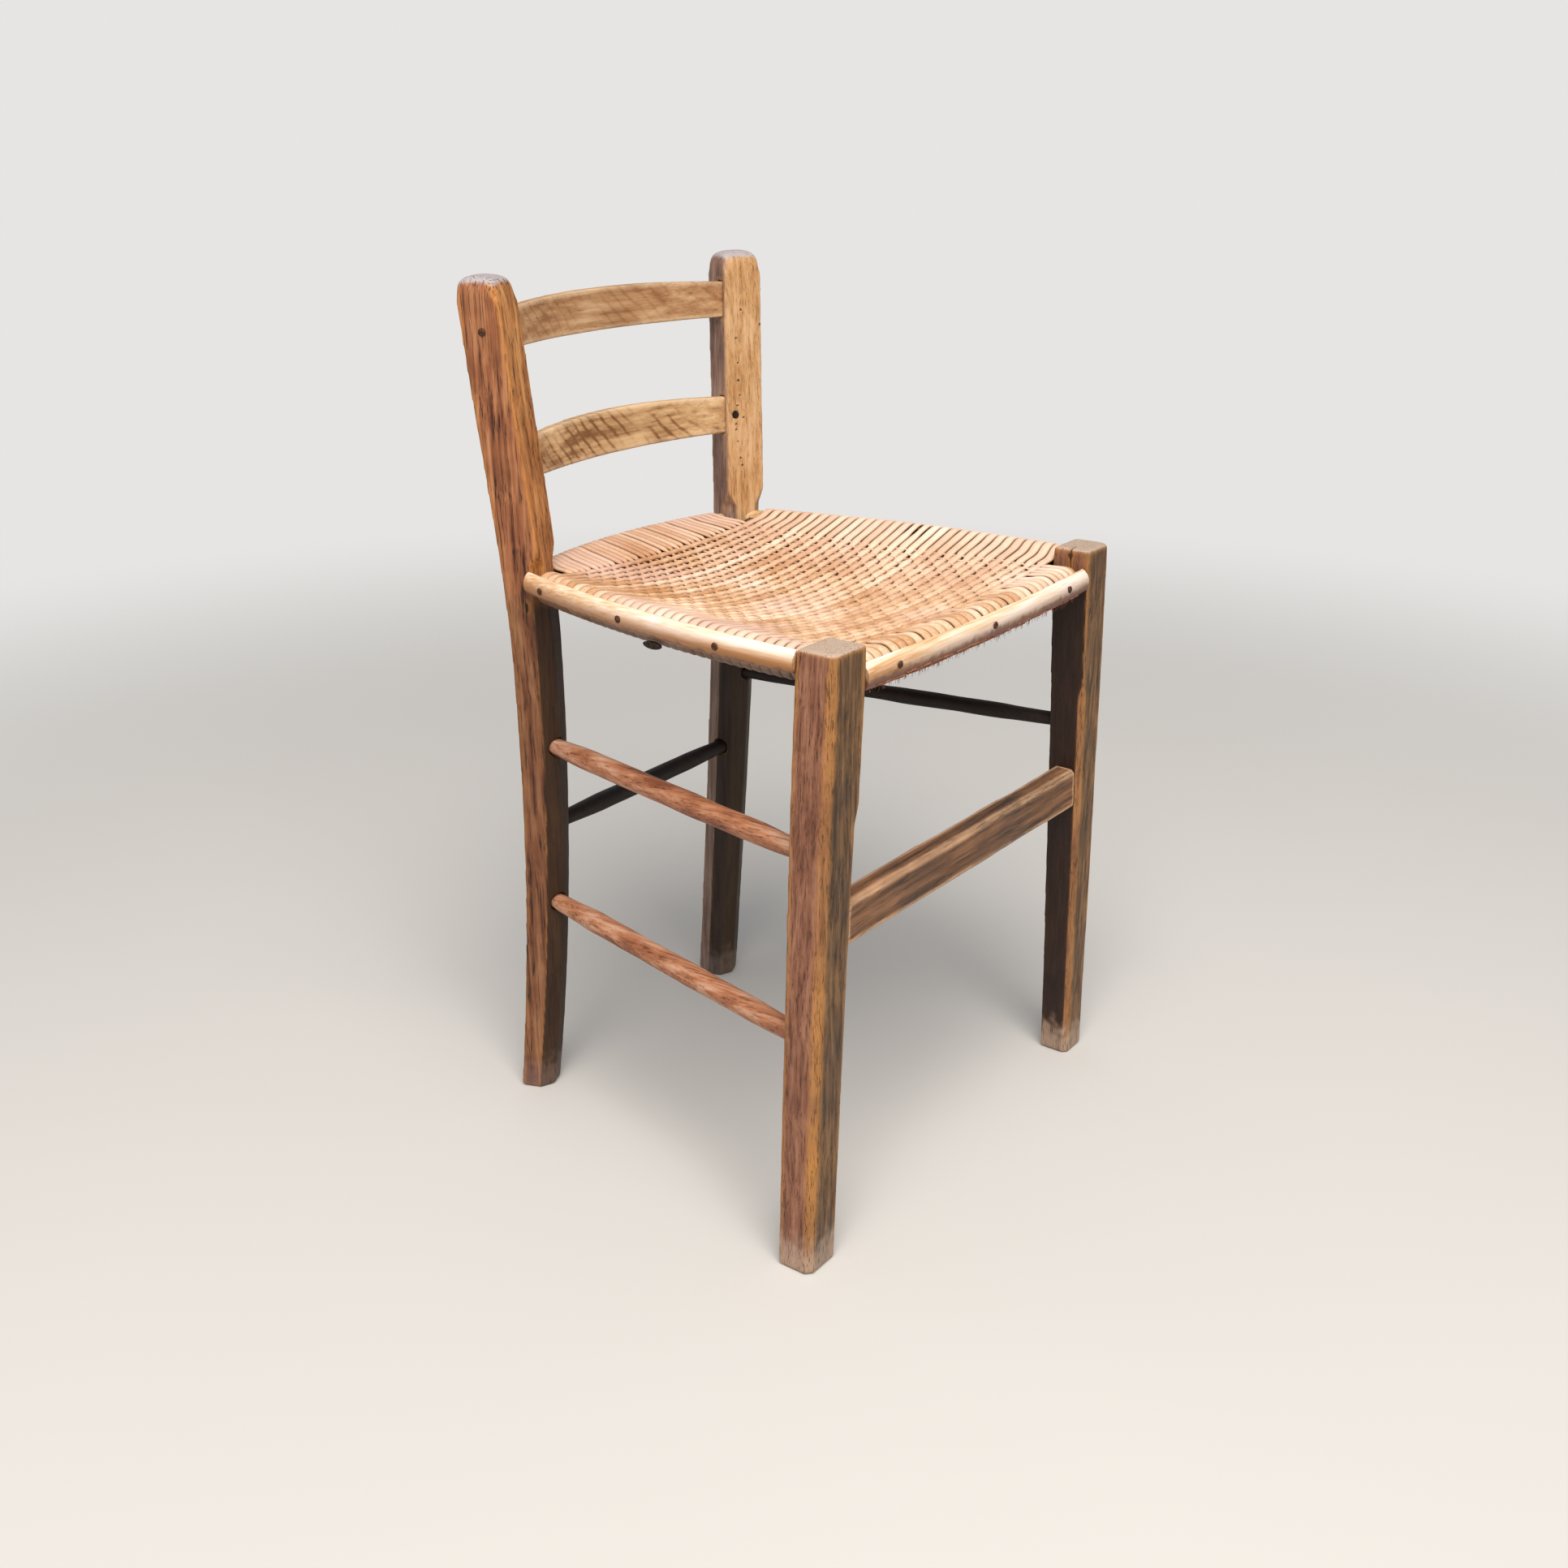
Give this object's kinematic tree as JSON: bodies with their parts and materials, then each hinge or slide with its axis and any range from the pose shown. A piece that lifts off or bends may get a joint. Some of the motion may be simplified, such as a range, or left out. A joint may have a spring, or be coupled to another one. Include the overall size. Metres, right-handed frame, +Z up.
{
  "type": "ladderback chair",
  "caption": "Low wooden ladderback chair with bowed slats, round stretchers and a cane seat woven round four rails.",
  "frame": {"origin": "bottom centre of the whole chair, on the floor under the seat", "axes": "+Z up; the sitter faces -Y; +X is the side on the right of someone who looks at the chair from in front"},
  "size_m": [0.4108, 0.3694, 0.656],
  "materials": {
    "leg_oak": "worn, dark stained, open grain",
    "post_oak": "worn, honey brown, open grain",
    "slat_oak": "pale, worn, unfinished",
    "stretcher_oak": "rounded by hand, worn",
    "front_rail_oak": "worn pale on top",
    "seat_rail_wood": "rough, hidden",
    "slip_wood": "peeled pale wood, half round",
    "peg_wood": "dark end grain",
    "seat_cane": "woven split cane, peach and straw",
    "knot_cane": "dark tied cane ends",
    "rusty_steel": "rusted nail"
  },
  "bodies": {
    "root": {"front_leg_left": "leg_oak", "front_leg_right": "leg_oak", "back_post_left": "post_oak", "back_post_right": "post_oak", "top_slat": "slat_oak", "lower_slat": "slat_oak", "front_rail": "front_rail_oak", "stretcher_left_upper": "stretcher_oak", "stretcher_left_lower": "stretcher_oak", "stretcher_right_upper": "stretcher_oak", "stretcher_back": "stretcher_oak", "seat_rail_front": "seat_rail_wood", "seat_rail_back": "seat_rail_wood", "seat_rail_left": "seat_rail_wood", "seat_rail_right": "seat_rail_wood", "woven_seat": "seat_cane", "seat_slip_front": "slip_wood", "seat_slip_left": "slip_wood", "slip_nails_front": "rusty_steel", "slip_nails_left": "rusty_steel", "cane_knot": "knot_cane", "post_peg": "peg_wood", "post_nail": "rusty_steel", "leg_top_nail": "rusty_steel"}
  },
  "joints": []
}
